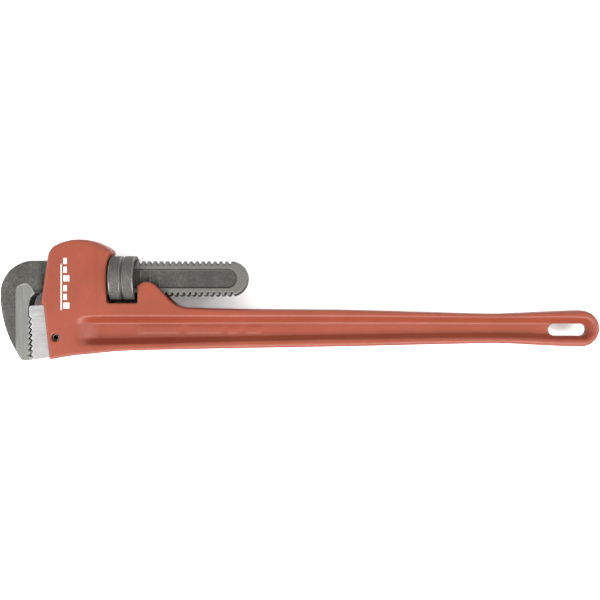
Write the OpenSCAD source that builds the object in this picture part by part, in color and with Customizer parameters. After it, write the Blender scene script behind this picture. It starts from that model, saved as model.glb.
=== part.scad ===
// Heavy pattern pipe wrench, 600 mm long, lying on its side with the jaws closed.
// X runs along the handle, with the hook jaw at -X and the hang slot at +X. Y points from the
// jaws' opening to the screw. Z is the wrench's thickness. The origin is under the middle of
// the closed wrench, on the surface that the adjusting nut touches.

/* [Overall] */
// Length from the back of the hook jaw to the end of the handle, jaws closed
wrench_l = 600; // [590:1:610]
// Height of the head, from the jaw tips to the top of the housing
head_h = 121.6; // [120:0.2:124]

/* [Handle] */
// Distance of the handle's centre line from the middle of the head
handle_drop = 28.6; // [28:0.1:29.2]
// Height of the handle where it leaves the housing
neck_h = 41.4; // [39:0.2:43]
// Height of the handle at its waist, near the hang slot
waist_h = 30.4; // [28:0.2:33]
// Height of the round end of the handle, which is a full half circle
end_h = 36.8; // [34:0.2:39]
// Thickness of the flanges along the handle's two edges
flange_t = 23.5; // [21:0.5:26]
// Thickness of the web between the flanges
web_t = 8; // [7:0.5:11]
// Length of the hang slot from end to end
slot_l = 38.4; // [30:0.2:40]
// Width of the hang slot
slot_w = 12; // [9:0.5:13]

/* [Housing] */
// Thickness of the housing over both cheeks
housing_t = 32; // [31:0.5:35]
// Radius of the housing's domed top
dome_r = 49.7; // [48:0.1:52]
// Width of the channel that the hook jaw's shank slides in
channel_w = 17.6; // [17.4:0.1:18.4]
// Length of the window that holds the adjusting nut
window_l = 30.6; // [29:0.1:31]

/* [Hook jaw] */
// Thickness of the jaw's head
hook_t = 20; // [19:0.5:23]
// Thickness of the threaded shank
shank_t = 16; // [15:0.1:16.6]
// Radius of the back of the hook
hook_back_r = 33; // [32:0.5:34]
// How far the nut has moved the jaw out of its closed place
jaw_out = 0; // [0:1:90]

/* [Screw thread] */
// Outer diameter of the thread on the shank's edges
thread_d = 36; // [35.6:0.1:36.2]
// Distance between two thread crests
pitch = 6; // [6:0.5:6]
// Depth of the thread
thread_depth = 2.8; // [2.4:0.1:3]
// Width of the flat on each crest
crest_w = 1.6; // [1.2:0.1:1.8]
// Play between the nut's thread and the shank's, along the axis
thread_play = 0.35; // [0.3:0.05:0.45]

/* [Adjusting nut] */
// Diameter of the nut over its knurl
nut_d = 46.4; // [45:0.2:47]
// Length of the nut
nut_l = 25; // [23:0.5:26]
// Width of the V groove between its two knurled bands
groove_w = 3.6; // [2:0.2:5]

/* [Jaw teeth] */
// Distance between two teeth
tooth_pitch = 5.5; // [5:0.1:5.6]
// Height of a tooth
tooth_h = 2.5; // [2:0.1:2.8]
// Part of each pitch that the steep flank takes
steep_part = 0.33; // [0.25:0.01:0.4]
// Gap between the closed jaws at the first tooth
tooth_gap = 0.95; // [0.9:0.05:1.2]
// How much the gap grows for each millimetre towards the opening
gap_growth = 0.047; // [0.03:0.001:0.06]

/* [Heel jaw] */
// Width of the tongue that the housing holds
tongue_w = 14; // [12:0.5:16]
// Diameter of the slotted pin that holds the heel jaw
pin_d = 8; // [6:0.5:9]
// Length of that pin
pin_l = 26; // [24:0.5:28]

/* [Springs] */
// Thickness of the flat spring
strip_t = 1.2; // [0.8:0.1:1.3]
// Width of the flat spring
strip_w = 12; // [9:0.5:14]
// Wire diameter of the coil spring
wire_d = 1.4; // [1:0.1:1.6]
// Outer diameter of the coil spring
coil_d = 10; // [9:0.2:10.4]
// Number of turns of the coil spring
coil_turns = 6; // [4:1:7]

/* [Hidden] */
$fn = 96;

mid_z = nut_d / 2;
back_x = -wrench_l / 2;
top_y = head_h / 2;
bottom_y = -head_h / 2;
through = 80;

// Screw axis and nut
nut_x = -177.1;
screw_y = 21.3;
thread_r = thread_d / 2;
root_r = thread_r - thread_depth;
flank_run = thread_depth / 2;
crest_x = -67.7;
bore_clear = 0.3;
nut_bore_r = thread_r + bore_clear;
nut_rim = 1;
ridge_turns = 3;
// Turns the nut's thread so that it meets the shank's midway between two crests
ridge_turn = -360 * (crest_x + pitch / 2 - nut_x) / pitch;

// Handle
handle_y = -handle_drop;
end_x = wrench_l / 2 - end_h / 2;
neck_x = -100;
waist_x = 195;
slot_x = 268.9;

// Housing
front_top = [-250.6, 45];
lip = [-257.9, -4.7];
seat_top = [-255.2, -4.6];
seat_bottom = [-249.2, -57.5];
dome_x = -219.3;
dome_y = top_y - dome_r;
window_x1 = nut_x - window_l / 2;
window_x2 = nut_x + window_l / 2;
window_y = screw_y - nut_d / 2 - 1.1;
rear_floor_y = window_y - 1.5;
floor_y = screw_y - thread_r - 1.8;
roof_front_y = screw_y + thread_r + 5.2;
roof_back_y = screw_y + thread_r + 2;
// The rib that the shank rocks on, and its radius
fulcrum = [-206, screw_y + thread_r + 2];
fulcrum_r = 1.8;
pin_at = [-242.8, -37.2];
pocket_x = -228;
pocket_y = -16;
pocket_r = coil_d / 2 + 0.6;

// Hook jaw
hook_c = [back_x + hook_back_r, screw_y + thread_r - hook_back_r + 0.2];
belly_r = 115;
belly_end = 32;
root_x = -271.4;
first_tooth_y = -18.3;
teeth = 8;
steep = steep_part * tooth_pitch;
shoulder_low = [-257.6, 7];
shoulder_top = [-252.8, screw_y + thread_r];
thread_x1 = -203;
tail_x = -69.3;
recess_depth = 1.6;
recess_x1 = -206;
recess_x2 = -63.3;
recess_h = 19.5;
marks = 3;
mark_x = -160.4;
mark_step = 9.5;
mark_w = 0.9;
mark_high = 0.5;

// Heel jaw
heel_t = hook_t;
tongue_x = -234;
tongue_y1 = -50;
tongue_y2 = -12;
snug = 0.15;

// Springs
strip_x1 = -254;
strip_x2 = -203;
strip_y = floor_y + 0.3;
rivet_r = 1.6;

function arc(c, r, a1, a2, n) =
  [for (i = [0:n]) c + r * [cos(a1 + (a2 - a1) * i / n), sin(a1 + (a2 - a1) * i / n)]];

// A smooth curve through the points p, with n steps from each to the next
function curve(p, n) = concat(
  [for (i = [0:len(p) - 2]) for (k = [0:n - 1])
    let (a = p[max(i - 1, 0)], b = p[i], c = p[i + 1], d = p[min(i + 2, len(p) - 1)], t = k / n)
    b + 0.5 * t * (c - a + t * (2 * a - 5 * b + 4 * c - d + t * (3 * b - a - 3 * c + d)))],
  [p[len(p) - 1]]);

// Draws its children as a plate of thickness t about the wrench's middle plane
module plate(t) {
  translate([0, 0, mid_z - t / 2]) linear_extrude(t) children();
}

// A stadium shape of length l and height h, centred on c
module stadium(c, l, h) {
  translate(c) {
    square([l - h, h], center = true);
    for (side = [-1, 1]) translate([side * (l - h) / 2, 0]) circle(d = h);
  }
}

// A ridge that climbs along the screw's right-hand helix from the angle a1 to a2 in n steps.
// Its section has four points, each a place along the axis and a radius.
module helix_ridge(section, a1, a2, n) {
  points = [for (i = [0:n], q = section)
    let (a = a1 + (a2 - a1) * i / n)
    [q[0] + pitch * a / 360, q[1] * cos(a), q[1] * sin(a)]];
  walls = [for (i = [0:n - 1], k = [0:3])
    let (a = 4 * i + k, b = 4 * i + (k + 1) % 4) each [[a, b, b + 4], [a, b + 4, a + 4]]];
  polyhedron(points, concat([[3, 2, 1, 0]], walls,
    [[4 * n, 4 * n + 1, 4 * n + 2, 4 * n + 3]]));
}

// ---------- handle and housing, one casting ----------

module casting_outline() {
  lower = curve([[-246.5, -59.2], [-228, -56], [-199, -53], [-170, -50.8],
    [neck_x, handle_y - neck_h / 2], [50, handle_y - 18.1],
    [waist_x - 25, handle_y - waist_h / 2 - 0.2], [waist_x + 10, handle_y - waist_h / 2],
    [waist_x + 50, handle_y - 17.2], [end_x - 6, handle_y - end_h / 2]], 5);
  upper = curve([[end_x - 6, handle_y + end_h / 2], [waist_x + 50, handle_y + 17],
    [waist_x + 10, handle_y + waist_h / 2], [waist_x - 25, handle_y + waist_h / 2 + 0.2],
    [50, handle_y + 18.7], [neck_x + 40, handle_y + 19.7], [neck_x, handle_y + neck_h / 2],
    [-116.7, -6.9], [-126.5, -2.7], [-138.2, 9.2], [-146, 16.2], [-154.6, 18.3],
    [window_x2, 14]], 5);
  round_end = arc([end_x, handle_y], end_h / 2, -90, 90, 24);
  dome = arc([dome_x, dome_y], dome_r, 52.5, 126, 20);
  window = concat([[window_x2, window_y]], arc([window_x1 + 3, window_y + 3], 3, 270, 180, 5),
    [[window_x1, 38], [-190.4, 42.4], [-188.9, 45], [-188, 46.4]]);
  front = [front_top, lip, seat_top, seat_bottom, [-248.6, -59]];
  polygon(concat(lower, round_end, upper, window, dome, front));
}

// Half thickness of the casting along X: cheeks, a soft ridge, then the slimmer handle
module casting_thickness() {
  cheek = housing_t / 2;
  flange = flange_t / 2;
  side = concat(
    [[back_x, cheek], [-205, cheek], [-201, cheek - 0.9], [-160, cheek - 0.9]],
    curve([[-150, cheek - 1], [-120, flange + 1.8], [-85, flange + 0.6], [end_x - 70, flange - 0.8],
      [wrench_l / 2, flange]], 4));
  far_side = [for (i = [len(side) - 1:-1:0]) [side[i][0], -side[i][1]]];
  translate([0, 100, mid_z]) rotate([90, 0, 0]) linear_extrude(200)
    polygon(concat(side, far_side));
}

// The hollow between the flanges, on the side where s is 1 or -1
module handle_hollow(s) {
  rim = concat(curve([[-222, -24], [-214, -18.6], [-203, -16.4], [-120, -16.4], [60, -16.4],
      [slot_x, -17.2]], 4),
    arc([end_x + 0.5, handle_y - 0.4], 11.6, 70, -70, 12),
    curve([[slot_x - 6, -40.4], [waist_x, -38.3], [60, -39.8], [-50, -41.8], [-200, -44.6],
      [-214, -43], [-222, -37]], 4));
  web = concat([[-203, -25], [-196, -23.1], [slot_x, -23.1]],
    arc([end_x - 2, handle_y - 0.6], 6.8, 70, -70, 8),
    [[slot_x - 6, -36.2], [waist_x, -35.7], [-50, -36.9], [-196, -39], [-203, -37]]);
  translate([0, 0, mid_z]) scale([1, 1, s]) hull() {
    translate([0, 0, web_t / 2]) linear_extrude(0.01) polygon(web);
    translate([0, 0, housing_t / 2 + 0.5]) linear_extrude(0.01) polygon(rim);
  }
}

module handle_housing() {
  channel = [[-262, floor_y], [window_x1 + 1, floor_y], [window_x1 + 1, roof_back_y],
    [-262, roof_front_y]];
  rear_channel = [[window_x1, rear_floor_y], [-106, rear_floor_y], [-106, 30], [window_x1, 30]];
  color("indianred") difference() {
    intersection() {
      plate(through) casting_outline();
      casting_thickness();
    }
    for (s = [-1, 1]) handle_hollow(s);
    plate(through) stadium([slot_x, handle_y - 1.2], slot_l, slot_w);
    plate(channel_w) difference() {
      polygon(channel);
      translate(fulcrum) circle(r = fulcrum_r);
    }
    plate(channel_w) polygon(rear_channel);
    plate(tongue_w + 2 * snug)
      translate([-262, tongue_y1 - snug])
        square([262 + tongue_x + snug, tongue_y2 - tongue_y1 + 2 * snug]);
    translate([pin_at[0], pin_at[1], mid_z - through / 2]) cylinder(d = pin_d, h = through);
    translate([pocket_x, pocket_y, mid_z]) rotate([-90, 0, 0]) cylinder(r = pocket_r, h = 20);
  }
}

// ---------- hook jaw ----------

// Y of the crest of tooth i, counted from the throat
function crest_y(i) = first_tooth_y - tooth_pitch * i;

// Gap between the two rows of teeth at the height y
function jaw_gap(y) = tooth_gap + gap_growth * (crest_y(0) + steep - y);

module hook_outline() {
  tooth_line = [for (i = [teeth - 1:-1:0])
    each [[root_x + tooth_h, crest_y(i)], [root_x, crest_y(i) + steep]]];
  polygon(concat(
    arc(hook_c, hook_back_r, 90, 180, 16),
    arc(hook_c + [belly_r - hook_back_r, 0], belly_r, 181, 180 + belly_end, 12),
    [[-280.2, -58], [-277.6, -60.2], [-274.5, bottom_y], [root_x + 1, bottom_y]],
    tooth_line,
    curve([[root_x, -9], [-269.6, 1], [-267, 4.6], [-263.6, 7], shoulder_low], 3),
    [shoulder_top]));
}

// X of the last thread crest on the upper edge (s = 1) or the lower edge (s = -1)
function last_crest(s) = crest_x + (s > 0 ? 0 : pitch / 2);

// Thread crests on one edge of the shank, each a short piece of the helix
module crests(s) {
  foot = (crest_w + flank_run) / 2 + flank_run;
  tip = (crest_w - 1) / 2;
  crest = [[-tip, thread_r + 1], [tip, thread_r + 1], [foot, root_r - flank_run],
    [-foot, root_r - flank_run]];
  for (x = [last_crest(s):-pitch:thread_x1])
    translate([x, 0, 0]) rotate([s > 0 ? 0 : 180, 0, 0]) helix_ridge(crest, -36, 36, 4);
}

// A rod about the screw axis from x1 to the tail, with a round end
module rod(x1, r) {
  translate([x1, 0, 0]) rotate([0, 90, 0]) cylinder(r = r, h = tail_x - x1);
  translate([tail_x, 0, 0]) sphere(r = r);
}

// The upper (s = 1) or lower (s = -1) half of the tail, past the last crest
module tail(s) {
  intersection() {
    translate([tail_x, 0, 0]) sphere(r = thread_r);
    translate([last_crest(s), s > 0 ? 0 : -through, -through / 2])
      cube([through, through, through]);
  }
}

module shank() {
  difference() {
    intersection() {
      plate(shank_t) translate([thread_x1 - 1, -40]) square([200, 130]);
      translate([0, screw_y, mid_z]) {
        rod(thread_x1 - 1, root_r);
        for (s = [-1, 1]) {
          intersection() {
            rod(thread_x1 - 1, thread_r);
            crests(s);
          }
          tail(s);
        }
      }
    }
    for (s = [-1, 1])
      translate([0, 0, mid_z + s * (shank_t / 2 - recess_depth / 2 + 0.5) - recess_depth / 2 - 0.5])
        linear_extrude(recess_depth + 1)
          stadium([(recess_x1 + recess_x2) / 2, screw_y + 0.4], recess_x2 - recess_x1, recess_h);
  }
}

// The plain part of the shank between the jaw's head and the thread
module neck() {
  low = screw_y - thread_r;
  plate(shank_t) polygon([shoulder_top - [4, 0], shoulder_low - [4, 0], shoulder_low,
    [shoulder_low[0] + 7, low], [thread_x1, low], [thread_x1, screw_y + thread_r]]);
}

// Raised graduation bars across the recess on both sides of the shank
module graduation() {
  for (i = [0:marks - 1], s = [-1, 1])
    translate([mark_x + mark_step * i, screw_y + 0.4, mid_z + s * (shank_t / 2 - recess_depth)])
      cube([mark_w, recess_h, 2 * mark_high], center = true);
}

module hook_jaw() {
  color("dimgray") translate([-jaw_out, 0, 0]) {
    plate(hook_t) hook_outline();
    neck();
    shank();
    graduation();
  }
}

// ---------- adjusting nut ----------

// The nut's inner thread
module nut_thread() {
  outer_r = nut_bore_r + 0.5;
  inner_r = root_r + 0.4;
  slope = flank_run / thread_depth;
  inner_w = pitch - crest_w - 2 * flank_run + 2 * slope * 0.4 - 2 * thread_play;
  outer_w = inner_w + 2 * slope * (outer_r - inner_r);
  section = [[-outer_w / 2, outer_r], [outer_w / 2, outer_r], [inner_w / 2, inner_r],
    [-inner_w / 2, inner_r]];
  helix_ridge(section, -180 * ridge_turns, 180 * ridge_turns, 30 * ridge_turns);
}

module adjusting_nut() {
  r = nut_d / 2;
  half = nut_l / 2;
  outline = [[nut_bore_r, half - 2], [nut_bore_r + 1.8, half], [r - nut_rim, half],
    [r, half - nut_rim], [r, groove_w / 2], [r - 1.4, 0], [r, -groove_w / 2],
    [r, nut_rim - half], [r - nut_rim, -half], [nut_bore_r + 1.8, -half],
    [nut_bore_r, 2 - half]];
  color("gray") translate([nut_x, screw_y, mid_z]) {
    rotate([0, 90, 0]) rotate_extrude() polygon(outline);
    rotate([ridge_turn + 360 * jaw_out / pitch, 0, 0]) nut_thread();
  }
}

// ---------- heel jaw and its pin ----------

module heel_outline() {
  tooth_line = [for (i = [0:teeth - 1])
    let (y1 = crest_y(i) + steep, y2 = crest_y(i))
    each [[root_x + jaw_gap(y1), y1], [root_x + tooth_h + jaw_gap(y2), y2]]];
  polygon(concat([[-269.3, -5.7], [-270.2, -6.6], [-270.7, -8.5]], tooth_line,
    [[-267, -59.6], [-265.6, -60], [seat_bottom[0] - 0.1, -57.7], seat_top - [0.1, 0.1]]));
}

module heel_jaw() {
  color("lightgray") difference() {
    union() {
      plate(heel_t) heel_outline();
      plate(tongue_w) translate([-258, tongue_y1])
        square([258 + tongue_x, tongue_y2 - tongue_y1]);
    }
    translate([pin_at[0], pin_at[1], mid_z - through / 2]) cylinder(d = pin_d, h = through);
  }
}

module heel_jaw_pin() {
  color("darkslategray") translate([pin_at[0], pin_at[1], mid_z - pin_l / 2]) difference() {
    cylinder(d = pin_d, h = pin_l);
    translate([0, 0, -1]) cylinder(d = pin_d - 3, h = pin_l + 2);
    translate([0, -0.6, -1]) cube([pin_d, 1.2, pin_l + 2]);
  }
}

// ---------- springs ----------

module flat_spring() {
  color("slategray") difference() {
    translate([strip_x1, strip_y, mid_z - strip_w / 2])
      cube([strip_x2 - strip_x1, strip_t, strip_w]);
    translate([pocket_x, strip_y - 1, mid_z]) rotate([-90, 0, 0]) cylinder(r = rivet_r, h = 5);
  }
}

module coil_spring() {
  steps = 16;
  sides = 8;
  r = (coil_d - wire_d) / 2;
  rise = strip_y - pocket_y - wire_d - 0.4;
  last = steps * coil_turns;
  points = [for (i = [0:last], k = [0:sides - 1])
    let (a = 360 * i / steps, b = 360 * k / sides, q = r + wire_d / 2 * cos(b))
    [q * cos(a), rise * i / last + wire_d / 2 * sin(b), q * sin(a)]];
  walls = [for (i = [0:last - 1], k = [0:sides - 1])
    let (a = sides * i + k, b = sides * i + (k + 1) % sides)
    each [[a, a + sides, b + sides], [a, b + sides, b]]];
  color("silver") translate([pocket_x, pocket_y + wire_d / 2 + 0.2, mid_z])
    polyhedron(points, concat([[for (k = [0:sides - 1]) k]], walls,
      [[for (k = [sides - 1:-1:0]) sides * last + k]]));
}

module spring_rivet() {
  color("dimgray") translate([pocket_x, strip_y + strip_t, mid_z]) rotate([90, 0, 0]) {
    cylinder(r = rivet_r, h = strip_t + 2);
    translate([0, 0, strip_t]) cylinder(r = rivet_r + 1.6, h = 1);
  }
}

handle_housing();
hook_jaw();
adjusting_nut();
heel_jaw();
heel_jaw_pin();
flat_spring();
coil_spring();
spring_rivet();
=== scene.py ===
import math

import bmesh
import bpy
import numpy as np
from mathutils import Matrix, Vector


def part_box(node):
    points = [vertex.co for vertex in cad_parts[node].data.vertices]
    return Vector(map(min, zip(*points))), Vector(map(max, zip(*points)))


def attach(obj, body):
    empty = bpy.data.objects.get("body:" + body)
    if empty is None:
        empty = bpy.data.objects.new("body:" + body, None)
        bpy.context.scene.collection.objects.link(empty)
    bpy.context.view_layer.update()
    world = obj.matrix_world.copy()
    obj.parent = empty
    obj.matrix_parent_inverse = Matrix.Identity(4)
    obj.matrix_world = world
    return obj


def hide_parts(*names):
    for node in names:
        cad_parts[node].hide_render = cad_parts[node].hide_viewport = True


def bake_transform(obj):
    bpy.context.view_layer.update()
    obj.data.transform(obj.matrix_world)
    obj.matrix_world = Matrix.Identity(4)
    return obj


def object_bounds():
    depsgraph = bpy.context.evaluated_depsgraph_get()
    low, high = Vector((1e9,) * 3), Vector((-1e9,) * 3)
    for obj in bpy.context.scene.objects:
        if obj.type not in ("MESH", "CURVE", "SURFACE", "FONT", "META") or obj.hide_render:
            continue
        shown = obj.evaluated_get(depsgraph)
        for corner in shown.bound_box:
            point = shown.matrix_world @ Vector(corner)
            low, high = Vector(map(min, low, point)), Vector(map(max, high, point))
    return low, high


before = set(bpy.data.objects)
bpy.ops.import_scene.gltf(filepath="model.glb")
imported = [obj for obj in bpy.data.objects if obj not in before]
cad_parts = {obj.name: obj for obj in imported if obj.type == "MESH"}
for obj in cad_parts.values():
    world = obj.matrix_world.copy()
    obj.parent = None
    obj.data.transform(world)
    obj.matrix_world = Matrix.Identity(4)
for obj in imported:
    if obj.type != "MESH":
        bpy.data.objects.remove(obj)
cad_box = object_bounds()

# ---------------------------------------------------------------------------
# Landmarks of the CAD model, in millimetres. Z is counted from the wrench's
# middle plane, where the screw's axis lies.
# ---------------------------------------------------------------------------

MM = 0.001
nut_low, nut_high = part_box("adjusting_nut")
MID_Z = (nut_low[2] + nut_high[2]) / 2


def landmarks(node):
    """The lowest and highest corner of a CAD node, in millimetres about the middle plane."""
    low, high = (np.array(p) - (0, 0, MID_Z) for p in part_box(node))
    return low / MM, high / MM


nut_a, nut_b = landmarks("adjusting_nut")
hook_a, hook_b = landmarks("hook_jaw")
cast_a, cast_b = landmarks("handle_housing")
heel_a, heel_b = landmarks("heel_jaw")
pin_a, pin_b = landmarks("heel_jaw_pin")
strip_a, strip_b = landmarks("flat_spring")
coil_a, coil_b = landmarks("coil_spring")
rivet_a, rivet_b = landmarks("spring_rivet")

NUT_X, SCREW_Y = (nut_a[0] + nut_b[0]) / 2, (nut_a[1] + nut_b[1]) / 2
NUT_R, NUT_HALF = (nut_b[1] - nut_a[1]) / 2, (nut_b[0] - nut_a[0]) / 2
THREAD_R = hook_b[1] - SCREW_Y - 0.2
THREAD_DEPTH = 2.8
SHANK_HALF = 8.0
PITCH = 6.0
TAIL_X = hook_b[0] - THREAD_R
CREST_X = TAIL_X + 1.6
CHEEK = cast_b[2]
END_R = 18.4
END_X = cast_b[0] - END_R
HANDLE_Y = -28.6
PIN_X, PIN_Y = (pin_a[0] + pin_b[0]) / 2, (pin_a[1] + pin_b[1]) / 2
PIN_R = (pin_b[0] - pin_a[0]) / 2
CHANNEL, TONGUE_SLOT = 8.8, 7.15
COIL_X = (coil_a[0] + coil_b[0]) / 2
SLOT_X, SLOT_Y, SLOT_HALF, SLOT_R = 268.9, HANDLE_Y - 1.2, 13.2, 6.0
ROOT_X = hook_a[0] + 28.6
TOOTH_PITCH, TOOTH_H, TOOTH_STEEP, TEETH = 5.5, 2.5, 1.815, 8
FIRST_TOOTH_Y = -18.3

# ---------------------------------------------------------------------------
# Curves and distance fields
# ---------------------------------------------------------------------------


def arc(cx, cy, r, a1, a2, n):
    turn = np.radians(np.linspace(a1, a2, n + 1))
    return [(cx + r * math.cos(t), cy + r * math.sin(t)) for t in turn]


def curve(points, n):
    """A smooth curve through the points, with n steps from each to the next."""
    p = [np.array(q, float) for q in points]
    out = []
    for i in range(len(p) - 1):
        a, b, c, d = p[max(i - 1, 0)], p[i], p[i + 1], p[min(i + 2, len(p) - 1)]
        for t in np.arange(n) / n:
            bend, twist = 2 * a - 5 * b + 4 * c - d, 3 * b - a - 3 * c + d
            out.append(b + 0.5 * t * (c - a + t * (bend + t * twist)))
    return [tuple(q) for q in out] + [tuple(p[-1])]


def outline_distance(points, x, y):
    """Signed distance of the grid points x, y from a closed outline, negative inside."""
    p = np.array(points, float)
    nearest = np.full(x.shape, 1e9)
    inside = np.zeros(x.shape, bool)
    for (ax, ay), (bx, by) in zip(p, np.roll(p, -1, axis=0)):
        ex, ey = bx - ax, by - ay
        length = ex * ex + ey * ey
        if length < 1e-9:
            continue
        t = np.clip(((x - ax) * ex + (y - ay) * ey) / length, 0, 1)
        nearest = np.minimum(nearest, (x - ax - t * ex) ** 2 + (y - ay - t * ey) ** 2)
        if ey:
            crosses = ((ay > y) != (by > y)) & (x < ax + (y - ay) * ex / ey)
            inside ^= crosses
    return np.where(inside, -1, 1) * np.sqrt(nearest)


def box_distance(x, y, x1, x2, y1, y2):
    dx = np.abs(x - (x1 + x2) / 2) - (x2 - x1) / 2
    dy = np.abs(y - (y1 + y2) / 2) - (y2 - y1) / 2
    return np.minimum(np.maximum(dx, dy), 0) + np.hypot(np.maximum(dx, 0), np.maximum(dy, 0))


def meet(a, b, r):
    """What lies in both a and b, with the edge between them rounded to the radius r."""
    a, b = a + r, b + r
    return np.minimum(np.maximum(a, b), 0) + np.hypot(np.maximum(a, 0), np.maximum(b, 0)) - r


def cut(a, b, r):
    """a without b, with the edge between them rounded."""
    return meet(a, -b, r)


def join(a, b, r):
    """a and b together, with a fillet between them."""
    return -meet(-a, -b, r)


def step(t):
    """A smooth step from 0 to 1 while t goes from 0 to 1."""
    t = np.clip(t, 0, 1)
    return t * t * (3 - 2 * t)


def soft_min(a, b, k):
    h = np.maximum(k - np.abs(a - b), 0) / k
    return np.minimum(a, b) - h * h * k / 4


def soft_ramp(t, k):
    """0 below 0 and 1 above 1, straight between, with soft corners."""
    return -soft_min(-soft_min(t, 1.0, k), 0.0, k)


def spaced(stops):
    """Grid coordinates through stops of (start, step); the last stop ends it."""
    parts = []
    for (a, s), (b, _) in zip(stops[:-1], stops[1:]):
        n = max(1, round((b - a) / s))
        parts.append(a + (b - a) * np.arange(n) / n)
    return np.concatenate(parts + [[stops[-1][0]]])


# ---------------------------------------------------------------------------
# Meshes
# ---------------------------------------------------------------------------


def mesh_object(name, verts, faces, smooth=True):
    """An object from vertices in millimetres about the middle plane, and faces of one size."""
    verts, faces = np.asarray(verts, float), np.asarray(faces, np.int32)
    verts = verts * MM + (0, 0, MID_Z)
    mesh = bpy.data.meshes.new(name)
    mesh.vertices.add(len(verts))
    mesh.vertices.foreach_set("co", verts.ravel())
    size = faces.shape[1]
    mesh.loops.add(faces.size)
    mesh.loops.foreach_set("vertex_index", faces.ravel())
    mesh.polygons.add(len(faces))
    mesh.polygons.foreach_set("loop_start", np.arange(0, faces.size, size, dtype=np.int32))
    mesh.polygons.foreach_set("use_smooth", np.full(len(faces), smooth))
    mesh.update()
    mesh.validate()
    obj = bpy.data.objects.new(name, mesh)
    bpy.context.scene.collection.objects.link(obj)
    return obj


def surface(name, field, axes):
    """The zero surface of a field sampled on a grid: one vertex in each cell that it crosses."""
    inside = field < 0
    n = [s - 1 for s in field.shape]
    corners = [(a, b, c) for a in (0, 1) for b in (0, 1) for c in (0, 1)]
    count = np.zeros(n, np.int8)
    for a, b, c in corners:
        count += inside[a:a + n[0], b:b + n[1], c:c + n[2]]
    cells = np.argwhere((count > 0) & (count < 8))
    number = np.full(n, -1, np.int32)
    number[tuple(cells.T)] = np.arange(len(cells))
    total, hits = np.zeros((len(cells), 3)), np.zeros(len(cells))
    for axis in range(3):
        for corner in corners:
            if corner[axis]:
                continue
            start = cells + corner
            end = start.copy()
            end[:, axis] += 1
            f0, f1 = field[tuple(start.T)], field[tuple(end.T)]
            crossed = (f0 < 0) != (f1 < 0)
            t = np.where(crossed, f0 / np.where(crossed, f0 - f1, 1), 0)
            p = np.stack([axes[k][start[:, k]] for k in range(3)], 1)
            p[:, axis] += t * (axes[axis][end[:, axis]] - axes[axis][start[:, axis]])
            total += p * crossed[:, None]
            hits += crossed
    quads = []
    for axis in range(3):
        u, v = (axis + 1) % 3, (axis + 2) % 3
        low, high = [slice(1, -1)] * 3, [slice(1, -1)] * 3
        low[axis], high[axis] = slice(0, -1), slice(1, None)
        here, there = inside[tuple(low)], inside[tuple(high)]
        edges = np.argwhere(here != there)
        outward = here[tuple(edges.T)]
        edges[:, u] += 1
        edges[:, v] += 1
        ring = []
        for du, dv in ((-1, -1), (0, -1), (0, 0), (-1, 0)):
            cell = edges.copy()
            cell[:, u] += du
            cell[:, v] += dv
            ring.append(number[tuple(cell.T)])
        ring = np.stack(ring, 1)
        ring[~outward] = ring[~outward][:, ::-1]
        quads.append(ring)
    return mesh_object(name, total / hits[:, None], np.concatenate(quads))


def grid_faces(rows, columns, close_rows=True, close_columns=True):
    """Quads over a grid of vertices, which may close on itself both ways."""
    i = np.arange(rows if close_rows else rows - 1)[:, None]
    j = np.arange(columns if close_columns else columns - 1)[None, :]
    i2, j2 = (i + 1) % rows, (j + 1) % columns
    return np.stack([i * columns + j, i * columns + j2, i2 * columns + j2, i2 * columns + j],
                    -1).reshape(-1, 4)


def close_holes(obj):
    """Caps every open edge loop and turns all faces outward."""
    bm = bmesh.new()
    bm.from_mesh(obj.data)
    bmesh.ops.holes_fill(bm, edges=[e for e in bm.edges if e.is_boundary])
    bmesh.ops.recalc_face_normals(bm, faces=bm.faces)
    bm.to_mesh(obj.data)
    bm.free()
    return obj


def vertex_values(obj, name, values):
    obj.data.attributes.new(name, "FLOAT", "POINT").data.foreach_set("value", np.asarray(values, float))


# ---------------------------------------------------------------------------
# Materials
# ---------------------------------------------------------------------------


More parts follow.
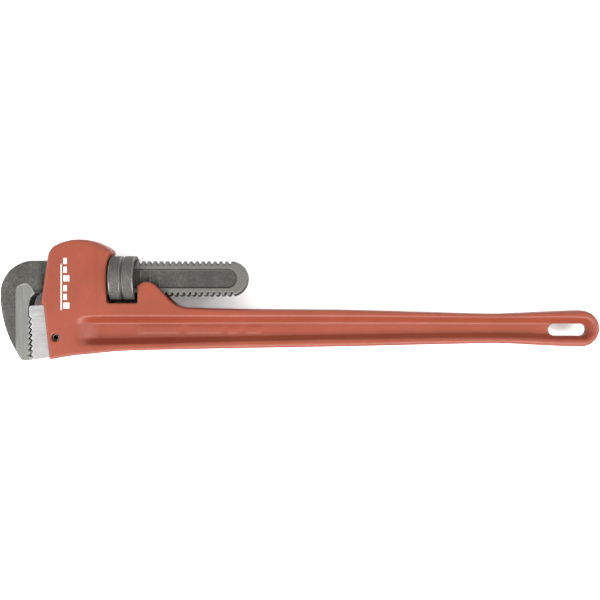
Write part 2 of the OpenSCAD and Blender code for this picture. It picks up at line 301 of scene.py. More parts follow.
class Finish:
    """A material whose Principled shader is fed by a few procedural textures."""

    def __init__(self, name, **constants):
        self.material = bpy.data.materials.new(name)
        self.material.use_nodes = True
        self.tree = self.material.node_tree
        self.shader = self.tree.nodes["Principled BSDF"]
        for socket, value in constants.items():
            self.shader.inputs[socket.replace("_", " ")].default_value = value
        self.place = self.add("ShaderNodeTexCoord").outputs["Object"]
        self.normal = None

    def add(self, kind, **settings):
        node = self.tree.nodes.new(kind)
        for key, value in settings.items():
            setattr(node, key, value)
        return node

    def feed(self, socket, value):
        if isinstance(value, bpy.types.NodeSocket):
            self.tree.links.new(value, socket)
        elif value is not None:
            socket.default_value = value

    def stretched(self, x, y, z):
        node = self.add("ShaderNodeMapping")
        self.feed(node.inputs["Vector"], self.place)
        node.inputs["Scale"].default_value = (x, y, z)
        return node.outputs["Vector"]

    def noise(self, grain_mm, detail=3.0, rough=0.55, place=None):
        """Noise whose blotches are about grain_mm across."""
        node = self.add("ShaderNodeTexNoise")
        self.feed(node.inputs["Vector"], place or self.place)
        node.inputs["Scale"].default_value = 1000 / grain_mm
        node.inputs["Detail"].default_value = detail
        node.inputs["Roughness"].default_value = rough
        return node.outputs["Fac"]

    def spread(self, value, low, high, to_low=0.0, to_high=1.0):
        """value's range low to high, stretched to to_low to to_high and clamped there."""
        node = self.add("ShaderNodeMapRange")
        for socket, v in zip(("Value", "From Min", "From Max", "To Min", "To Max"),
                             (value, low, high, to_low, to_high)):
            self.feed(node.inputs[socket], v)
        return node.outputs["Result"]

    def math(self, operation, a, b=None):
        node = self.add("ShaderNodeMath", operation=operation)
        self.feed(node.inputs[0], a)
        self.feed(node.inputs[1], b)
        return node.outputs[0]

    def blend(self, amount, a, b, how="MIX"):
        node = self.add("ShaderNodeMix", data_type="RGBA", blend_type=how)
        self.feed(node.inputs[0], amount)
        self.feed(node.inputs[6], (*a, 1) if isinstance(a, tuple) else a)
        self.feed(node.inputs[7], (*b, 1) if isinstance(b, tuple) else b)
        return node.outputs[2]

    def edges(self, low, high):
        """1 on sharp outer edges and 0 on flats, or the reverse if high is less than low."""
        return self.spread(self.add("ShaderNodeNewGeometry").outputs["Pointiness"], low, high)

    def value(self, name):
        return self.add("ShaderNodeAttribute", attribute_name=name).outputs["Fac"]

    def bump(self, height, depth_mm, strength=1.0):
        node = self.add("ShaderNodeBump")
        self.feed(node.inputs["Height"], height)
        node.inputs["Distance"].default_value = depth_mm * MM
        self.feed(node.inputs["Strength"], strength)
        if self.normal:
            self.feed(node.inputs["Normal"], self.normal)
        self.normal = node.outputs["Normal"]

    def done(self, color=None, roughness=None, metallic=None):
        for name, value in (("Base Color", color), ("Roughness", roughness), ("Metallic", metallic)):
            if value is not None:
                self.feed(self.shader.inputs[name], (*value, 1) if isinstance(value, tuple) else value)
        if self.normal:
            self.feed(self.shader.inputs["Normal"], self.normal)
        return self.material


def enamel():
    """Orange-red enamel dulled by use, over a fine sand casting."""
    f = Finish("orange_red_enamel", Coat_Weight=0.02, Coat_Roughness=0.3, Specular_IOR_Level=0.25)
    cloud, blotch = f.noise(38, 2), f.noise(5, 4)
    color = f.blend(f.spread(cloud, 0.35, 0.65), (0.1129, 0.0209, 0.0089), (0.1288, 0.0243, 0.011))
    color = f.blend(f.spread(blotch, 0.35, 0.7, 0, 0.45), color, (0.1029, 0.0173, 0.0076))
    # painted sheen lightens the rounded outer edges, and painted shade darkens the inner creases
    color = f.blend(f.math("MULTIPLY", f.edges(0.53, 0.62), 0.35), color, (0.1594, 0.0764, 0.0565))
    color = f.blend(f.math("MULTIPLY", f.edges(0.48, 0.42), 0.45), color, (0.0498, 0.0066, 0.004))
    scuffs = f.spread(f.noise(2.2, 5, 0.7, f.stretched(1, 0.25, 1)), 0.66, 0.78)
    color = f.blend(f.math("MULTIPLY", scuffs, 0.15), color, (0.1727, 0.0863, 0.0664))
    roughness = f.math("ADD", f.spread(blotch, 0.3, 0.7, 0.40, 0.50), f.math("MULTIPLY", scuffs, 0.15))
    f.bump(f.noise(3.2, 3, 0.5), 0.22, 0.6)
    f.bump(f.noise(0.9, 2, 0.5), 0.07, 0.5)
    return f.done(color, roughness)


def forged():
    """Dark phosphated forging, mottled, with ground flanks and rims rubbed lighter."""
    f = Finish("phosphated_forging", Specular_IOR_Level=0.4)
    cloud, blotch, speck = f.noise(16, 3), f.noise(2.6, 5, 0.7), f.noise(0.8, 3)
    color = f.blend(f.spread(cloud, 0.35, 0.65), (0.028, 0.0272, 0.024), (0.048, 0.0472, 0.0416))
    color = f.blend(f.spread(blotch, 0.40, 0.58, 0, 0.85), color, (0.0192, 0.0184, 0.016))
    color = f.blend(f.spread(speck, 0.56, 0.70, 0, 0.45), color, (0.104, 0.1024, 0.0944))
    color = f.blend(f.math("MULTIPLY", f.value("rim"), 0.55), color, (0.1, 0.0976, 0.088))
    color = f.blend(f.math("MULTIPLY", f.edges(0.52, 0.60), 0.6), color, (0.16, 0.156, 0.144))
    # painted shade darkens the inner creases
    color = f.blend(f.math("MULTIPLY", f.edges(0.48, 0.40), 0.7), color, (0.0096, 0.0088, 0.008))
    # painted shade darkens the shank's recess walls and the throat
    color = f.blend(f.math("MULTIPLY", f.value("painted_shade"), 0.8), color, (0.0096, 0.0088, 0.008))
    # the ground parts keep the fine marks of the wheel
    marks = f.noise(1.6, 5, 0.7, f.stretched(1, 0.06, 1))
    steel = f.blend(f.spread(marks, 0.3, 0.7), (0.1, 0.1, 0.092), (0.144, 0.144, 0.1344))
    steel = f.blend(f.spread(cloud, 0.40, 0.70, 0, 0.3), steel, (0.096, 0.096, 0.088))
    color = f.blend(f.value("ground"), color, steel)
    f.bump(f.noise(2.4, 4, 0.6), 0.18, f.spread(f.value("ground"), 0, 1, 0.7, 0.12))
    f.bump(speck, 0.07, f.spread(f.value("ground"), 0, 1, 0.6, 0.2))
    roughness = f.spread(f.value("ground"), 0, 1, f.spread(blotch, 0.3, 0.7, 0.40, 0.56), 0.42)
    return f.done(color, roughness, f.spread(f.value("ground"), 0, 1, 0.55, 0.82))


def ground(name, low, high, stretch, roughness):
    """Ground steel with fine parallel grinding marks."""
    f = Finish(name)
    marks = f.noise(1.6, 5, 0.7, f.stretched(*stretch))
    cloud = f.noise(9, 3)
    color = f.blend(f.spread(marks, 0.3, 0.7), low, high)
    color = f.blend(f.spread(cloud, 0.40, 0.75, 0, 0.25), color, tuple(0.75 * c for c in low))
    # painted shade darkens the inner creases
    color = f.blend(f.math("MULTIPLY", f.edges(0.47, 0.38), 0.5), color, tuple(0.3 * c for c in low))
    f.bump(marks, 0.03, 0.5)
    return f.done(color, f.spread(marks, 0.3, 0.7, roughness - 0.05, roughness + 0.08), 0.85)


def knurled():
    """Dark steel whose knurl points are rubbed bright."""
    f = Finish("knurled_steel")
    blotch = f.noise(4, 4)
    color = f.blend(f.spread(blotch, 0.35, 0.65), (0.0206, 0.0196, 0.0169), (0.0338, 0.0321, 0.0278))
    color = f.blend(f.math("MULTIPLY", f.value("rubbed"), 0.9), color, (0.118, 0.113, 0.103))
    # painted shade darkens the knurl valleys, the middle groove and the bore
    color = f.blend(f.value("painted_hollow_shade"), color, (0.0043, 0.0038, 0.0033))
    f.bump(f.noise(1.1, 3), 0.03, 0.5)
    roughness = f.spread(f.value("rubbed"), 0, 1, 0.52, 0.34)
    return f.done(color, roughness, 0.75)


def oiled(name, dark, light):
    """Oiled spring steel with long faint streaks."""
    f = Finish(name)
    streaks = f.noise(2.5, 4, 0.6, f.stretched(0.2, 1, 1))
    color = f.blend(f.spread(streaks, 0.3, 0.7), dark, light)
    color = f.blend(f.spread(f.noise(1.2, 3), 0.62, 0.75, 0, 0.4), color, (0.05, 0.03, 0.018))
    f.bump(streaks, 0.02, 0.4)
    return f.done(color, f.spread(streaks, 0.3, 0.7, 0.28, 0.42), 0.9)


def white_mark():
    """White screen-printed paint, thin and a little worn."""
    f = Finish("white_print", Specular_IOR_Level=0.45)
    wear = f.noise(1.4, 5, 0.65)
    color = f.blend(f.spread(wear, 0.60, 0.70), (0.34, 0.3272, 0.3187), (0.221, 0.1275, 0.102))
    f.bump(wear, 0.02, 0.4)
    return f.done(color, f.spread(wear, 0.3, 0.7, 0.38, 0.5))


def floor_finish():
    """Plain near-white studio board."""
    f = Finish("studio_board", Specular_IOR_Level=0.1)
    tone = f.blend(f.spread(f.noise(300, 2), 0.3, 0.7), (0.86, 0.86, 0.86), (0.90, 0.90, 0.90))
    return f.done(tone, 0.8)


ENAMEL, FORGED, KNURLED = enamel(), forged(), knurled()
BRIGHT = ground("bright_ground_steel", (0.2191, 0.2158, 0.2125), (0.2656, 0.261, 0.2576), (0.08, 1, 1), 0.38)
SPRING = oiled("spring_steel", (0.04, 0.04, 0.042), (0.09, 0.09, 0.095))
PIN_STEEL = oiled("pin_steel", (0.055, 0.057, 0.052), (0.13, 0.133, 0.125))


def finish_piece(obj, body, material_slot, materials, *nodes):
    """Gives a piece its materials and its body, and hides the CAD nodes that it stands for."""
    for material in materials:
        obj.data.materials.append(material)
    if body:
        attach(obj, body)
    if nodes:
        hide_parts(*nodes)
    return obj


# ---------------------------------------------------------------------------
# Handle and housing: one casting
# ---------------------------------------------------------------------------

WINDOW_X1, WINDOW_X2 = NUT_X - 15.3, NUT_X + 15.3
WINDOW_Y = SCREW_Y - NUT_R - 1.1
FLOOR_Y = SCREW_Y - THREAD_R - 1.8
FULCRUM, FULCRUM_R = (-206, SCREW_Y + THREAD_R + 2), 1.8


def casting_outline():
    lower = curve([(-246.5, -59.2), (-228, -56), (-199, -53), (-170, -50.8), (-100, -49.3),
                   (50, -46.7), (170, -44), (205, -43.8), (245, -45.8), (END_X - 6, HANDLE_Y - END_R)], 6)
    upper = curve([(END_X - 6, HANDLE_Y + END_R), (245, -11.6), (205, -13.4), (170, -13.2), (50, -9.9),
                   (-60, -8.9), (-100, -7.9), (-116.7, -6.9), (-126.5, -2.7), (-138.2, 9.2),
                   (-146, 16.2), (-154.6, 18.3), (WINDOW_X2, 14.5)], 6)
    round_end = arc(END_X, HANDLE_Y, END_R, -90, 90, 24)
    corner = arc(WINDOW_X1 + 3, WINDOW_Y + 3, 3, 270, 190, 6)
    window = [(WINDOW_X2, WINDOW_Y)] + corner
    beak = curve([(WINDOW_X1, 14), (WINDOW_X1, 26), (WINDOW_X1 + 0.6, 33), (WINDOW_X1 + 1.3, 38),
                  (WINDOW_X1 + 2.1, 42), (WINDOW_X1 + 3, 44.2), (WINDOW_X1 + 3.9, 45.2),
                  (WINDOW_X1 + 4.5, 46.2), (WINDOW_X1 + 4.3, 47.6)], 4)
    dome = arc(-219.3, cast_b[1] - 49.7, 49.7, 52.5, 122, 20)
    front = [(-247.8, 50.6), (-249.6, 47.8), (-250.6, 45), (-257.9, -4.7), (-255.2, -4.6),
             (-249.2, -57.5), (-248.6, -59)]
    return lower + round_end + upper + window + beak + dome + front


def hollow_outline():
    """The upper edge of the hollow between the handle's flanges."""
    return (curve([(-234, -30), (-231, -21.5), (-220, -17.9), (-203, -16.5), (-120, -16.4), (60, -16.4),
                   (SLOT_X, -17.2)], 5)
            + arc(END_X + 0.7, HANDLE_Y - 0.4, 11.8, 70, -70, 14)
            + curve([(SLOT_X - 6, -40.4), (195, -38.3), (60, -39.8), (-50, -41.8), (-200, -44.8),
                     (-219, -44.2), (-231, -39.5), (-234, -30)], 5)[:-1])


def raised_bars(x, y):
    """1 on a row of plain slanted bars in the hollow and 0 off them."""
    bars = np.full(x.shape, 9.0)
    for x1, x2 in ((-162, -120), (-114, -78), (-72, -60), (-54, -38)):
        lean = 0.35 * (y + 29.5)
        bars = np.minimum(bars, box_distance(x - lean, y, x1, x2, -33.4, -25.6))
    return 1 - soft_ramp(bars / 1.6 + 0.6, 0.5)


def casting():
    ax = [spaced([(cast_a[0] - 2, 0.85), (-95, 1.5), (235, 0.9), (cast_b[0] + 2, 1)]),
          spaced([(cast_a[1] - 2, 0.85), (cast_b[1] + 2, 1)]),
          spaced([(cast_a[2] - 1.7, 0.85), (cast_b[2] + 1.7, 1)])]
    x, y = np.meshgrid(ax[0], ax[1], indexing="ij")
    side = outline_distance(casting_outline(), x, y)
    face = (CHEEK - 0.9 * step((x + 205) / 5) - 3.35 * step((x + 158) / 98)
            - 0.75 * step((x + 60) / 250) + 0.75 * step((x - 220) / 70))
    depth = -outline_distance(hollow_outline(), x, y)
    # the hollow's left end rises to the cheek in a long soft scoop
    face = face - (face - 4.0) * soft_ramp(depth / 6.3, 0.22) * step((x + 226) / 28)
    face = face + 0.45 * raised_bars(x, y)
    dome_edge = step((x + 240) / 40) * step((y - 12) / 34)
    edge_r = 2.2 + 3.4 * dome_edge + 1.6 * step((x + 150) / 60) + 0.9 * step((x - 200) / 50)
    window_wall = step((x + 199) / 6) * (1 - step((x + 150) / 6)) * (1 - step((y - 34) / 12))
    edge_r = edge_r - (edge_r - 1.2) * window_wall * step((y - WINDOW_Y + 8) / 6)
    # the hump behind the nut has a crisper edge
    edge_r = edge_r - 0.8 * step((x + 166) / 6) * (1 - step((x + 128) / 14)) * (y > -6)
    z = ax[2][None, None, :]
    # walls lean in by the casting's draft, and a faint seam runs round the middle
    draft = side[:, :, None] + 0.016 * np.abs(z) - 0.22 * np.exp(-(z / 0.7) ** 2)
    solid = meet(draft, np.abs(z) - face[:, :, None], edge_r[:, :, None])

    slot = np.hypot(np.maximum(np.abs(x - SLOT_X) - SLOT_HALF, 0), y - SLOT_Y) - SLOT_R
    solid = cut(solid, slot[:, :, None] + 0 * z, 1.5)
    roof = SCREW_Y + THREAD_R
    channel = outline_distance([(-262, FLOOR_Y), (WINDOW_X1 + 1, FLOOR_Y), (WINDOW_X1 + 1, roof + 2),
                                (-262, roof + 5.2)], x, y)
    rib = np.hypot(x - FULCRUM[0], y - FULCRUM[1]) - FULCRUM_R
    channel = np.maximum(channel, -rib)
    rear = box_distance(x, y, WINDOW_X1, -106, WINDOW_Y - 1.5, 40)
    seat = box_distance(x, y, -262, heel_b[0] + 0.15, -50.15, -11.85)
    for hole, half in ((channel, CHANNEL), (rear, CHANNEL), (seat, TONGUE_SLOT)):
        solid = cut(solid, np.maximum(hole[:, :, None], np.abs(z) - half), 0.7)
    bore = np.hypot(x - PIN_X, y - PIN_Y) - PIN_R
    solid = cut(solid, bore[:, :, None] + 0 * z, 0.8)
    pocket = np.hypot(x[:, :, None] - COIL_X, z) - (coil_b[0] - coil_a[0]) / 2 - 0.6
    pocket = np.maximum(pocket, np.abs(y - FLOOR_Y)[:, :, None] + coil_a[1] - FLOOR_Y)
    solid = cut(solid, pocket, 0.4)
    return surface("casting", solid, ax)


finish_piece(casting(), "handle", "enamelled_casting", [ENAMEL], "handle_housing")

# ---------------------------------------------------------------------------
# Hook jaw: toothed head, plain neck and threaded shank in one forging
# ---------------------------------------------------------------------------


def crest_y(i):
    return FIRST_TOOTH_Y - TOOTH_PITCH * i


def hook_outline():
    r = 33.0
    cx, cy = hook_a[0] + r, hook_b[1] - r
    teeth = []
    for i in range(TEETH - 1, -1, -1):
        teeth += [(ROOT_X + TOOTH_H, crest_y(i)), (ROOT_X, crest_y(i) + TOOTH_STEEP)]
    throat = curve([(ROOT_X, -9), (-269.6, 1), (-267, 4.6), (-263.6, 7), (-257.6, 7)], 4)
    return (arc(cx, cy, r, 90, 180, 20) + arc(cx + 115 - r, cy, 115, 181, 212, 14)
            + [(-280.2, -58), (-277.6, -60.2), (-274.5, hook_a[1]), (ROOT_X + 1, hook_a[1])]
            + teeth + throat + [(-252.8, hook_b[1] - 0.2)])


GROUND_AREA = [(-284, -70), (-284, 9.5), (-282.6, 13), (-279, 15.2), (-275.5, 16.3), (-272.5, 16),
               (-269.5, 13.6), (-267.3, 10.5), (-266.3, 8), (-264.8, 6.2), (-250, -10), (-250, -70)]


def thread_radius(x, turn):
    """Radius of the thread at x and at the angle turn about the screw's axis."""
    along = (x - CREST_X) / PITCH - turn / (2 * math.pi)
    from_crest = np.abs(along - np.round(along)) * PITCH
    return THREAD_R - THREAD_DEPTH * soft_ramp((from_crest - 1.2) / 1.25, 0.45)


def shank_recess(x, y):
    """Distance from the long shallow recess in the shank's flat sides, negative inside it."""
    return np.hypot(np.maximum(np.abs(x + 134.65) - 61.6, 0), y - SCREW_Y - 0.4) - 9.75


def hook_jaw():
    ax = [spaced([(hook_a[0] - 1.5, 0.5), (hook_b[0] + 1.5, 1)]),
          spaced([(hook_a[1] - 1.5, 0.5), (hook_b[1] + 1.5, 1)]),
          spaced([(hook_a[2] - 1.2, 0.5), (hook_b[2] + 1.2, 1)])]
    x, y = np.meshgrid(ax[0], ax[1], indexing="ij")
    z = ax[2][None, None, :]
    outline = outline_distance(hook_outline(), x, y)
    band = outline_distance(GROUND_AREA, x, y)
    face = hook_b[2] - 0.35 * soft_ramp(-band / 0.8 + 0.5, 0.3) - 2 * step((x + 262) / 8) * (y > 4)
    edge_r = 2.6 - 2.2 * step((x + 286) / 8) * step(-(y - 22) / 10)
    head = meet(outline[:, :, None] + 0 * z, np.abs(z) - face[:, :, None], edge_r[:, :, None])

    recess = shank_recess(x, y)
    flat = SHANK_HALF - 1.6 * soft_ramp(-recess / 1.1, 0.4)
    for i in range(3):
        mark = np.abs(x + 160.4 - 9.5 * i) - 0.4
        flat = np.where(recess < -1, flat + 0.5 * (1 - soft_ramp(mark / 0.6, 0.4)), flat)
    low = SCREW_Y - THREAD_R
    neck = outline_distance([(-262, hook_b[1] - 0.2), (-262, 7), (-257.6, 7), (-250.6, low), (-204, low),
                             (-204, hook_b[1] - 0.2)], x, y)
    neck = meet(neck[:, :, None] + 0 * z, np.abs(z) - SHANK_HALF, 1.0)

    up = y[:, :, None] - SCREW_Y
    radius, turn = np.hypot(up, z), np.arctan2(z, up)
    wide = x[:, :, None] + 0 * z
    past = np.where(up > 0, CREST_X, CREST_X + PITCH / 2)
    thread = np.where(wide > past, THREAD_R, thread_radius(wide, turn))
    rod = np.hypot(np.maximum(wide - TAIL_X, 0), radius)
    shank = np.maximum((rod - thread) * 0.88, -205.0 - wide)
    shank = meet(shank, np.abs(z) - flat[:, :, None], 0.9)
    return surface("jaw_forging", join(head, np.minimum(neck, shank), 0.5), ax)


def paint_hook(obj):
    """Marks the hook's ground flanks and teeth, the rims round the shank's recess, and paints shade on its
    walls and in the throat.
    """
    count = len(obj.data.vertices)
    place, normal = np.empty(count * 3), np.empty(count * 3)
    obj.data.vertices.foreach_get("co", place)
    obj.data.vertices.foreach_get("normal", normal)
    x, y = place.reshape(-1, 3)[:, 0] / MM, place.reshape(-1, 3)[:, 1] / MM
    level = np.abs(normal.reshape(-1, 3)[:, 2])
    band = step(0.5 - outline_distance(GROUND_AREA, x, y) / 0.9)
    toothed = (x > -273) & (x < -266) & (y < -14)
    flank = step((level - 0.6) / 0.3) * (x < -262)
    fade = 1 - 0.55 * step((x + 274) / 8) * step((y - 8) / 8)
    vertex_values(obj, "ground", band * fade * np.maximum(flank, toothed))
    recess = shank_recess(x, y)
    on_shank = step((x + 204) / 4)
    vertex_values(obj, "rim", on_shank * step((recess + 0.1) / 0.8) * step((level - 0.5) / 0.4))
    # painted shade: the walls of the shank's recess are darkened
    walls = on_shank * np.exp(-((recess + 0.7) / 0.55) ** 2)
    # painted shade darkens the throat, where the head meets the neck
    throat = (1 - band) * (1 - step((y - 9) / 3)) * step((x + 272) / 2) * (1 - step((x + 252) / 6))
    vertex_values(obj, "painted_shade", np.maximum(walls, 1.2 * throat))


hook = finish_piece(hook_jaw(), "hook", "forged_steel", [FORGED], "hook_jaw")
paint_hook(hook)

# ---------------------------------------------------------------------------
# Adjusting nut: a turned ring with two knurled bands and a thread inside
# ---------------------------------------------------------------------------


def saw(t):
    """1 on every whole number and 0 midway between them."""
    return np.abs(2 * (t - np.floor(t)) - 1)


def nut():
    columns = 600
    r, half, groove = NUT_R, NUT_HALF, 1.8
    bore = THREAD_R + 0.3
    outer = np.concatenate([
        [half - 0.9, half - 1.3, half - 1.7], np.linspace(half - 2.1, groove + 0.5, 40),
        [groove, groove - 0.5, 1.0, 0.5, 0, -0.5, -1.0, 0.5 - groove, -groove],
        np.linspace(-groove - 0.5, 2.1 - half, 40), [1.7 - half, 1.3 - half, 0.9 - half]])
    rim = [(half - 0.55, r - 0.05), (half - 0.2, r - 0.35), (half, r - 0.85), (half, bore + 3.2),
           (half - 0.05, bore + 2.0), (half - 0.5, bore + 1.5), (half - 1.6, bore + 0.3)]
    inner = np.linspace(half - 2.4, 2.4 - half, 60)
    rows = [(x, r) for x in outer]
    rows += [(-x, q) for x, q in rim]
    rows += [(x, bore) for x in -inner]
    rows += [(x, q) for x, q in reversed(rim)]
    rows = np.array(rows)
    x = np.repeat(rows[:, :1], columns, 1)
    radius = np.repeat(rows[:, 1:], columns, 1)
    turn = np.repeat(np.linspace(0, 2 * math.pi, columns, endpoint=False)[None, :], len(rows), 0)

    outside = np.arange(len(rows))[:, None] < len(outer)
    in_band = outside & (np.abs(x) > groove + 0.3) & (np.abs(x) < half - 1.5)
    count = 84
    left, right = saw(x / 2.0 + count * turn / (2 * math.pi)), saw(x / 2.0 - count * turn / (2 * math.pi))
    low = np.maximum(left, right)
    point = np.clip(1.25 * (1 - low), 0, 1)
    fade = np.clip((np.abs(x) - groove - 0.3) / 0.4, 0, 1) * np.clip((half - 1.5 - np.abs(x)) / 0.4, 0, 1)
    radius = np.where(in_band, radius - 0.42 * (1 - point) * fade, radius)
    valley = np.clip(1 - np.abs(x) / groove, 0, 1)
    radius = np.where(outside, radius - 1.4 * soft_ramp(valley * 1.1, 0.3), radius)

    inside = (np.arange(len(rows)) >= len(outer) + len(rim)) & (np.arange(len(rows)) < len(rows) - len(rim))
    along = (x + NUT_X - CREST_X) / PITCH - 0.5 - turn / (2 * math.pi)
    from_ridge = np.abs(along - np.round(along)) * PITCH
    ridge = (1 - soft_ramp((from_ridge - 0.55) / 1.35, 0.3)) * np.clip((half - 2.2 - np.abs(x)) / 1.5, 0, 1)
    radius = np.where(inside[:, None], radius - 2.3 * ridge, radius)

    verts = np.stack([x + NUT_X, radius * np.cos(turn) + SCREW_Y, radius * np.sin(turn)], -1)
    obj = mesh_object("nut", verts.reshape(-1, 3), grid_faces(len(rows), columns))
    rubbed = np.where(in_band, point * fade, np.where(outside & (valley <= 0), 0.75, 0.35))
    rubbed = np.where(inside[:, None], 0.1, rubbed)
    # painted shade: knurl valleys, the groove bottom and the bore are darkened
    painted_hollow_shade = np.where(in_band, 0.95 * np.clip(1 - 1.7 * point, 0, 1), 0.6 * (valley > 0.55) * outside)
    vertex_values(obj, "rubbed", rubbed.ravel())
    vertex_values(obj, "painted_hollow_shade", np.where(inside[:, None], 0.5, painted_hollow_shade).ravel())
    return obj


finish_piece(nut(), "nut", "knurled_steel", [KNURLED], "adjusting_nut")

# ---------------------------------------------------------------------------
# Heel jaw and its slotted pin
# ---------------------------------------------------------------------------


def jaw_gap(y):
    return 0.95 + 0.047 * (FIRST_TOOTH_Y + TOOTH_STEEP - y)


def heel_jaw():
    teeth = []
    for i in range(TEETH):
        y1, y2 = crest_y(i) + TOOTH_STEEP, crest_y(i)
        teeth += [(ROOT_X + jaw_gap(y1), y1), (ROOT_X + TOOTH_H + jaw_gap(y2), y2)]
    outline = ([(-269.3, -5.6), (-270.2, -6.4), (-270.7, -8.2)] + teeth
               + [(-267, -59.6), (-265.6, heel_a[1]), (-249.3, -57.7), (-255.3, -4.7)])
    ax = [spaced([(heel_a[0] - 1.2, 0.42), (heel_b[0] + 1.2, 1)]),
          spaced([(heel_a[1] - 1.2, 0.42), (heel_b[1] + 1.2, 1)]),
          spaced([(heel_a[2] - 1.2, 0.42), (heel_b[2] + 1.2, 1)])]
    x, y = np.meshgrid(ax[0], ax[1], indexing="ij")
    z = ax[2][None, None, :]
    block = meet(outline_distance(outline, x, y)[:, :, None] + 0 * z, np.abs(z) - heel_b[2], 0.5)
    tongue = box_distance(x, y, -258, heel_b[0], -50, -12)
    tongue = meet(tongue[:, :, None] + 0 * z, np.abs(z) - 7, 0.4)
    bore = np.hypot(x - PIN_X, y - PIN_Y) - PIN_R
    return surface("heel_insert", cut(np.minimum(block, tongue), bore[:, :, None] + 0 * z, 0.3), ax)


def slotted_pin():
    """A rolled spring pin: a strip of steel bent round, open along one side."""
    half = (pin_b[2] - pin_a[2]) / 2
    outer, inner = PIN_R - 0.05, PIN_R - 1.5
    ring = ([(-half, outer - 0.8), (-half + 0.25, outer - 0.35), (-half + 1.1, outer)]
            + [(z, outer) for z in np.linspace(-half + 3, half - 3, 9)]
            + [(half - 1.1, outer), (half - 0.25, outer - 0.35), (half, outer - 0.8),
               (half, inner + 0.15), (half - 0.15, inner)]
            + [(z, inner) for z in np.linspace(half - 3, 3 - half, 9)]
            + [(0.15 - half, inner), (-half, inner + 0.15)])
    gap = math.radians(9)
    start = math.radians(40)
    turns = np.linspace(start + gap, start + 2 * math.pi - gap, 64)
    verts = [(PIN_X + q * math.cos(t), PIN_Y + q * math.sin(t), z) for t in turns for z, q in ring]
    obj = mesh_object("slotted_pin", verts, grid_faces(len(turns), len(ring), close_rows=False))
    return close_holes(obj)


finish_piece(heel_jaw(), "handle", "ground_steel", [BRIGHT], "heel_jaw")
finish_piece(slotted_pin(), "handle", "spring_steel", [PIN_STEEL], "heel_jaw_pin")

# ---------------------------------------------------------------------------
# Springs under the shank
# ---------------------------------------------------------------------------


def flat_spring():
    """A spring strip with rounded ends and rolled edges, pierced for its rivet."""
    axes = [spaced([(strip_a[0] - 1, 0.4), (strip_b[0] + 1, 1)]),
            spaced([(strip_a[1] - 0.6, 0.2), (strip_b[1] + 0.6, 1)]),
            spaced([(strip_a[2] - 1, 0.4), (strip_b[2] + 1, 1)])]
    x, y, z = (a.reshape([-1 if i == k else 1 for i in range(3)]) for k, a in enumerate(axes))
    plan = box_distance(x, z, strip_a[0] + 3, strip_b[0] - 3, strip_a[2] + 3, strip_b[2] - 3) - 3
    middle = (strip_a[1] + strip_b[1]) / 2
    strip = meet(plan + 0 * y, np.abs(y - middle) - (strip_b[1] - strip_a[1]) / 2 + 0 * plan, 0.35)
    hole = np.hypot(x - COIL_X, z) - 1.6
    return surface("spring_strip", cut(strip, hole + 0 * y, 0.15), axes)


def coil_spring():
    """Wire wound into closed end turns with open turns between them."""
    steps, sides, wire, turns = 40, 14, 0.7, 6.0
    t = np.linspace(0, 1, round(steps * turns) + 1)
    angle = 2 * math.pi * turns * t
    low, high = coil_a[1] + wire, coil_b[1] - wire
    rise = t - 0.6 * np.sin(2 * math.pi * t) / (2 * math.pi)
    y = low + (high - low) * rise
    r = (coil_b[0] - coil_a[0]) / 2 - wire
    around = np.linspace(0, 2 * math.pi, sides, endpoint=False)
    q = r + wire * np.cos(around)[None, :]
    verts = np.stack([COIL_X + q * np.cos(angle)[:, None],
                      y[:, None] + wire * np.sin(around)[None, :],
                      q * np.sin(angle)[:, None]], -1)
    faces = grid_faces(len(t), sides, close_rows=False)[:, ::-1]
    obj = mesh_object("coil", verts.reshape(-1, 3), faces)
    return close_holes(obj)


def spring_rivet():
    """A flush head, a shank and a spread foot that the coil fits round."""
    top, foot = rivet_b[1], rivet_a[1]
    r = (rivet_b[0] - rivet_a[0]) / 2
    profile = [(0.02, top), (1.1, top), (1.45, top - 0.1), (1.6, top - 0.35), (1.6, foot + 1.1),
               (r - 0.3, foot + 1.0), (r, foot + 0.75), (r, foot + 0.3), (r - 0.35, foot), (0.02, foot)]
    n = 40
    angle = np.linspace(0, 2 * math.pi, n, endpoint=False)
    verts = [(COIL_X + q * math.cos(a), y, q * math.sin(a)) for q, y in profile for a in angle]
    obj = mesh_object("rivet", verts, grid_faces(len(profile), n, close_rows=False))
    return close_holes(obj)


# the coil stretches between the handle and the strip, so it rides on neither
coil = finish_piece(coil_spring(), None, "spring_steel", [PIN_STEEL], "coil_spring")
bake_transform(coil)
finish_piece(flat_spring(), "spring_carrier", "spring_steel", [SPRING], "flat_spring")
finish_piece(spring_rivet(), "spring_carrier", "spring_steel", [PIN_STEEL], "spring_rivet")

# ---------------------------------------------------------------------------
# Printed mark on the cheek: a plain rule and a row of plain blocks
# ---------------------------------------------------------------------------


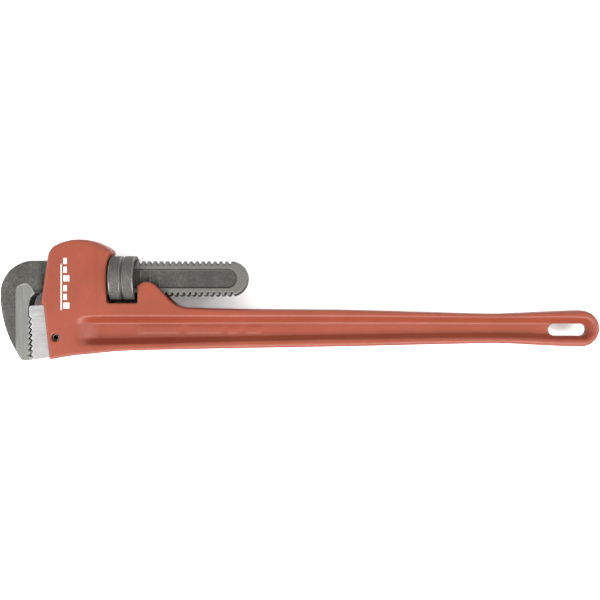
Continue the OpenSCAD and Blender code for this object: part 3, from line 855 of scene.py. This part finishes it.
def printed_mark():
    shapes = [(-237.4, -236.2, -10, 36)]
    for k, tall in enumerate((10, 6, 6, 10, 6, 6)):
        y1 = -8.5 + 8.6 * k + (1.2 if k > 2 else 0)
        shapes.append((-234.8, -234.8 + tall * 0.62, y1, y1 + 6.2))
    top = CHEEK + 0.03
    verts, faces = [], []
    for x1, x2, y1, y2 in shapes:
        start = len(verts)
        nx, ny = max(2, round((x2 - x1) / 1.5) + 1), max(2, round((y2 - y1) / 1.5) + 1)
        for gx in np.linspace(x1, x2, nx):
            for gy in np.linspace(y1, y2, ny):
                verts.append((gx, gy, top))
        faces += [tuple(start + f[::-1]) for f in grid_faces(nx, ny, False, False)]
    obj = mesh_object("printed_mark", verts, np.array(faces)[:, ::-1])
    thick = obj.modifiers.new("thickness", "SOLIDIFY")
    thick.thickness, thick.offset = 0.06 * MM, 0
    return obj


finish_piece(printed_mark(), "handle", "enamelled_casting", [white_mark()])

# ---------------------------------------------------------------------------
# Stage: floor, lights and camera
# ---------------------------------------------------------------------------


def floor():
    size, n = 3000.0, 12
    steps = np.linspace(-size, size, n)
    verts = [(x, y, -MID_Z / MM) for x in steps for y in steps]
    obj = mesh_object("studio_floor", verts, grid_faces(n, n, False, False)[:, ::-1])
    obj.data.materials.append(floor_finish())


def softbox(name, place, target, width, height, watts):
    light = bpy.data.lights.new(name, "AREA")
    light.shape = "RECTANGLE"
    light.size, light.size_y, light.energy = width, height, watts
    obj = bpy.data.objects.new(name, light)
    obj.location = place
    aim = np.array(target) - np.array(place)
    obj.rotation_euler = Vector(aim).to_track_quat("-Z", "Y").to_euler()
    bpy.context.scene.collection.objects.link(obj)


def lights():
    softbox("front", (0.0, -1.15, 1.3), (0, 0, 0), 2.6, 1.0, 112)
    softbox("back", (0.0, 1.35, 1.2), (0, 0, 0), 2.4, 0.9, 27)
    softbox("left", (-1.5, 0.0, 1.1), (0, 0, 0), 1.2, 1.0, 31)
    softbox("right", (1.5, 0.0, 1.1), (0, 0, 0), 1.2, 1.0, 31)
    world = bpy.data.worlds.new("soft_white")
    world.use_nodes = True
    world.node_tree.nodes["Background"].inputs["Color"].default_value = (1, 1, 1, 1)
    world.node_tree.nodes["Background"].inputs["Strength"].default_value = 0.64
    bpy.context.scene.world = world


def camera():
    """Straight down on the wrench's side, as far off as the parallax of the cheeks says."""
    low, high = cad_box
    data = bpy.data.cameras.new("camera")
    data.sensor_width, data.lens = 36.0, 51.6
    data.clip_start, data.clip_end = 0.01, 20
    obj = bpy.data.objects.new("camera", data)
    obj.location = ((low[0] + high[0]) / 2, (low[1] + high[1]) / 2, MID_Z + 0.8686)
    bpy.context.scene.collection.objects.link(obj)
    bpy.context.scene.camera = obj


floor()
lights()
camera()
bpy.context.scene.view_settings.view_transform = "Standard"
